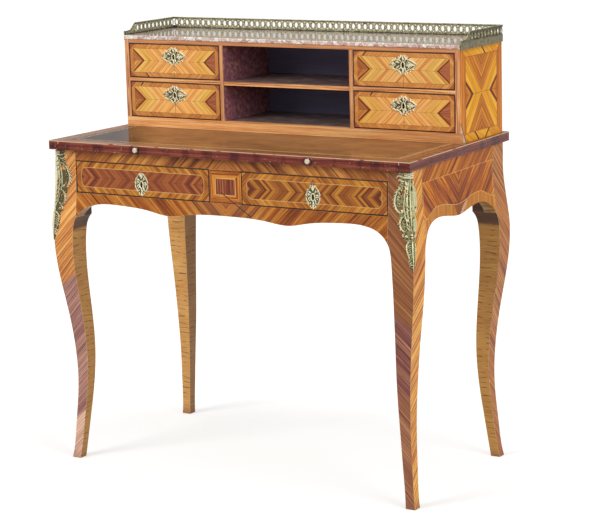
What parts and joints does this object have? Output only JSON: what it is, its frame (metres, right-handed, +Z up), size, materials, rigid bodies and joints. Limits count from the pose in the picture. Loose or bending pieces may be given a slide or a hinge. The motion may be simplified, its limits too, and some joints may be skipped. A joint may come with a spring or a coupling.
{
  "type": "bonheur du jour",
  "caption": "Louis XV style marquetry writing desk on cabriole legs, with frieze drawers, a pull-out leather slide and a marble-topped case of small drawers with a pierced brass gallery.",
  "frame": {"origin": "on the floor, below the middle of the whole piece", "axes": "+Z up, the front looks along -Y, +X to the right seen from the front"},
  "size_m": [0.925, 0.494, 0.97],
  "materials": {
    "tulipwood_veneer": "French-polished tulipwood and kingwood veneer, laid on the diagonal, satin gloss",
    "kingwood_marquetry": "chevron kingwood panels in tulipwood crossbanding with light stringing, satin gloss",
    "golden_marquetry": "quarter-matched golden tulipwood with kingwood corners, satin gloss",
    "case_veneer": "straight-grained orange-brown veneer on the edges, dark stain inside",
    "purpleheart_edge": "purple-brown crossbanding and edging, polished",
    "oak_lining": "plain oak, waxed",
    "leather": "dark brown-black polished hide with gilt tooling",
    "marble": "polished reddish and white veined marble",
    "gilt_brass": "aged gilt brass and bronze, chased",
    "lock_steel": "filed steel, dull"
  },
  "bodies": {
    "desk": {"back_apron": "tulipwood_veneer", "chute_left": "gilt_brass", "chute_right": "gilt_brass", "drawer_runners": "oak_lining", "front_apron": "tulipwood_veneer", "front_centre_stile": "tulipwood_veneer", "front_top_rail": "tulipwood_veneer", "gallery": "gilt_brass", "leg_back_left": "tulipwood_veneer", "leg_back_right": "tulipwood_veneer", "leg_front_left": "tulipwood_veneer", "leg_front_right": "tulipwood_veneer", "marble_top": "marble", "side_apron_left": "tulipwood_veneer", "side_apron_right": "tulipwood_veneer", "table_top_frame": "purpleheart_edge", "upper_back": "oak_lining", "upper_bottom_board": "case_veneer", "upper_dividers": "case_veneer", "upper_partitions": "case_veneer", "upper_plinth_rail": "case_veneer", "upper_shelf": "case_veneer", "upper_side_left": "tulipwood_veneer", "upper_side_right": "tulipwood_veneer", "upper_top_board": "case_veneer"},
    "writing_slide": {"writing_slide": "purpleheart_edge", "slide_leather": "leather", "slide_lipping": "purpleheart_edge", "slide_knobs": "gilt_brass"},
    "frieze_drawer_left": {"frieze_drawer_left_front": "kingwood_marquetry", "frieze_drawer_left_box": "oak_lining", "frieze_drawer_left_escutcheon": "gilt_brass", "frieze_drawer_left_lock_case": "lock_steel"},
    "frieze_drawer_left_bolt": {"frieze_drawer_left_lock_bolt": "lock_steel"},
    "frieze_drawer_right": {"frieze_drawer_right_front": "kingwood_marquetry", "frieze_drawer_right_box": "oak_lining", "frieze_drawer_right_escutcheon": "gilt_brass", "frieze_drawer_right_lock_case": "lock_steel"},
    "frieze_drawer_right_bolt": {"frieze_drawer_right_lock_bolt": "lock_steel"},
    "lower_drawer_left": {"lower_drawer_left_front": "golden_marquetry", "lower_drawer_left_box": "oak_lining", "lower_drawer_left_escutcheon": "gilt_brass", "lower_drawer_left_lock_case": "lock_steel"},
    "lower_drawer_left_bolt": {"lower_drawer_left_lock_bolt": "lock_steel"},
    "lower_drawer_right": {"lower_drawer_right_front": "golden_marquetry", "lower_drawer_right_box": "oak_lining", "lower_drawer_right_escutcheon": "gilt_brass", "lower_drawer_right_lock_case": "lock_steel"},
    "lower_drawer_right_bolt": {"lower_drawer_right_lock_bolt": "lock_steel"},
    "upper_drawer_left": {"upper_drawer_left_front": "golden_marquetry", "upper_drawer_left_box": "oak_lining", "upper_drawer_left_escutcheon": "gilt_brass", "upper_drawer_left_lock_case": "lock_steel"},
    "upper_drawer_left_bolt": {"upper_drawer_left_lock_bolt": "lock_steel"},
    "upper_drawer_right": {"upper_drawer_right_front": "golden_marquetry", "upper_drawer_right_box": "oak_lining", "upper_drawer_right_escutcheon": "gilt_brass", "upper_drawer_right_lock_case": "lock_steel"},
    "upper_drawer_right_bolt": {"upper_drawer_right_lock_bolt": "lock_steel"}
  },
  "joints": [
    {"name": "writing_slide_pull", "type": "slide", "parent": "desk", "child": "writing_slide", "axis": [0, -1, 0], "range_m": [0, 0.145]},
    {"name": "frieze_drawer_left_pull", "type": "slide", "parent": "desk", "child": "frieze_drawer_left", "axis": [0, -1, 0], "range_m": [0, 0.25]},
    {"name": "frieze_drawer_left_lock", "type": "slide", "parent": "frieze_drawer_left", "child": "frieze_drawer_left_bolt", "axis": [0, 0, 1], "range_m": [0, 0.005]},
    {"name": "frieze_drawer_right_pull", "type": "slide", "parent": "desk", "child": "frieze_drawer_right", "axis": [0, -1, 0], "range_m": [0, 0.25]},
    {"name": "frieze_drawer_right_lock", "type": "slide", "parent": "frieze_drawer_right", "child": "frieze_drawer_right_bolt", "axis": [0, 0, 1], "range_m": [0, 0.005]},
    {"name": "lower_drawer_left_pull", "type": "slide", "parent": "desk", "child": "lower_drawer_left", "axis": [0, -1, 0], "range_m": [0, 0.11]},
    {"name": "lower_drawer_left_lock", "type": "slide", "parent": "lower_drawer_left", "child": "lower_drawer_left_bolt", "axis": [0, 0, 1], "range_m": [0, 0.005]},
    {"name": "lower_drawer_right_pull", "type": "slide", "parent": "desk", "child": "lower_drawer_right", "axis": [0, -1, 0], "range_m": [0, 0.11]},
    {"name": "lower_drawer_right_lock", "type": "slide", "parent": "lower_drawer_right", "child": "lower_drawer_right_bolt", "axis": [0, 0, 1], "range_m": [0, 0.005]},
    {"name": "upper_drawer_left_pull", "type": "slide", "parent": "desk", "child": "upper_drawer_left", "axis": [0, -1, 0], "range_m": [0, 0.11]},
    {"name": "upper_drawer_left_lock", "type": "slide", "parent": "upper_drawer_left", "child": "upper_drawer_left_bolt", "axis": [0, 0, 1], "range_m": [0, 0.005]},
    {"name": "upper_drawer_right_pull", "type": "slide", "parent": "desk", "child": "upper_drawer_right", "axis": [0, -1, 0], "range_m": [0, 0.11]},
    {"name": "upper_drawer_right_lock", "type": "slide", "parent": "upper_drawer_right", "child": "upper_drawer_right_bolt", "axis": [0, 0, 1], "range_m": [0, 0.005]}
  ]
}
